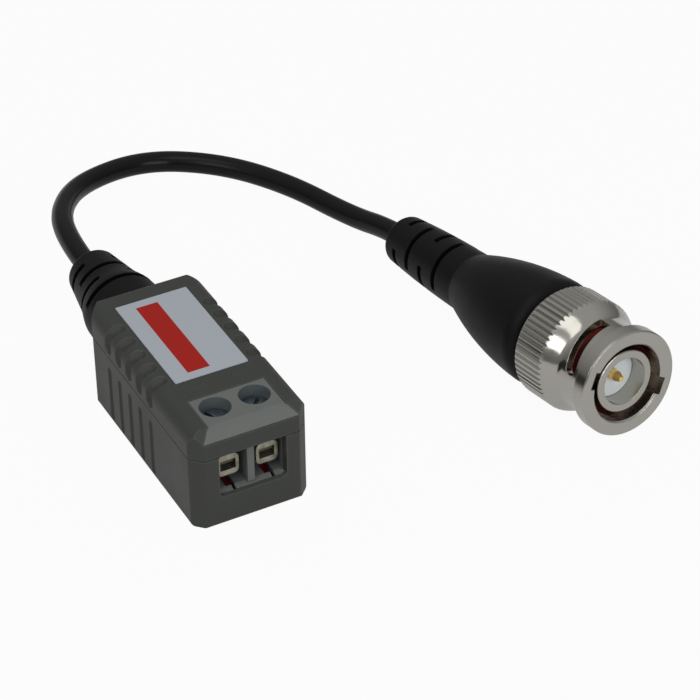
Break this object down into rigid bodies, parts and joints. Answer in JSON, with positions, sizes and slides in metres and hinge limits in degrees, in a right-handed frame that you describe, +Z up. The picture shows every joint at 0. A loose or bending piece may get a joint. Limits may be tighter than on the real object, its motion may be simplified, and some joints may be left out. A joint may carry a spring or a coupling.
{
  "type": "video balun",
  "caption": "Screw-terminal passive video balun: small grey housing with a strain relief and a short coax pigtail that ends in a bayonet coax plug with a segmented boot.",
  "frame": {"origin": "on the table, under the middle of the housing with its strain relief", "axes": "-Y towards the screw terminals, +Y towards the strain relief, +Z up, away from the table"},
  "size_m": [0.0591, 0.0847, 0.0156],
  "materials": {
    "shell": "moulded dark grey plastic, fine satin",
    "label": "white printed label with a red bar",
    "block": "moulded mid grey plastic",
    "screw": "blue zinc-plated steel",
    "cage": "nickel-plated steel strip",
    "contact": "tinned brass",
    "board": "glass-fibre board with dark red lacquer",
    "ferrite": "dark grey ferrite",
    "copper": "enamelled copper wire",
    "tinned": "tinned copper braid",
    "jacket": "black soft PVC",
    "relief": "black soft PVC",
    "nickel": "nickel-plated brass, satin bright",
    "insulator": "white fluoropolymer",
    "gold": "gold-plated contact",
    "gasket": "dark red silicone",
    "spring_steel": "bright spring steel"
  },
  "bodies": {
    "housing": {"lower_shell": "shell", "upper_shell": "shell", "top_label": "label", "terminal_block": "block", "contact_bar_left": "contact", "contact_bar_right": "contact", "circuit_board": "board", "transformer_core": "ferrite", "winding_line": "copper", "winding_coax": "copper", "signal_wire": "copper", "shield_wire": "tinned", "coax_tail": "jacket", "housing_relief": "relief", "cord": "jacket", "plug_boot": "relief", "plug_coax": "jacket", "crimp_ferrule": "nickel", "plug_body": "nickel", "plug_insulator": "insulator", "centre_pin": "gold", "gasket": "gasket", "wave_washer": "spring_steel"},
    "screw_left": {"terminal_screw_left": "screw"},
    "screw_right": {"terminal_screw_right": "screw"},
    "cage_left": {"clamp_cage_left": "cage"},
    "cage_right": {"clamp_cage_right": "cage"},
    "nut_carrier": {"thrust_washer": "spring_steel"},
    "nut": {"coupling_nut": "nickel", "snap_ring": "spring_steel"}
  },
  "joints": [
    {"name": "cage_left_lift", "type": "slide", "parent": "housing", "child": "cage_left", "axis": [0, 0, 1], "range_m": [-0.00015, 0.00065]},
    {"name": "screw_left_turn", "type": "hinge", "parent": "housing", "child": "screw_left", "pos_m": [-0.0025, -0.01887, 0.012], "axis": [0, 0, -1], "range_deg": [-136, 586]},
    {"name": "cage_right_lift", "type": "slide", "parent": "housing", "child": "cage_right", "axis": [0, 0, 1], "range_m": [-0.00015, 0.00065]},
    {"name": "screw_right_turn", "type": "hinge", "parent": "housing", "child": "screw_right", "pos_m": [0.0025, -0.01887, 0.012], "axis": [0, 0, -1], "range_deg": [-136, 586]},
    {"name": "nut_pull", "type": "slide", "parent": "housing", "child": "nut_carrier", "axis": [0.0994, -0.989, 0.1099], "range_m": [0, 0.0006], "stiffness_N_per_m": 15000, "springref_m": -0.0002, "deforming": ["wave_washer"]},
    {"name": "nut_turn", "type": "hinge", "parent": "nut_carrier", "child": "nut", "pos_m": [0.04483, -0.03268, 0.00888], "axis": [0.0994, -0.989, 0.1099], "continuous": true}
  ],
  "couplings": [
    {"joint": "screw_left_turn", "follows": "cage_left_lift", "rad_per_m": 15708},
    {"joint": "screw_right_turn", "follows": "cage_right_lift", "rad_per_m": 15708}
  ]
}
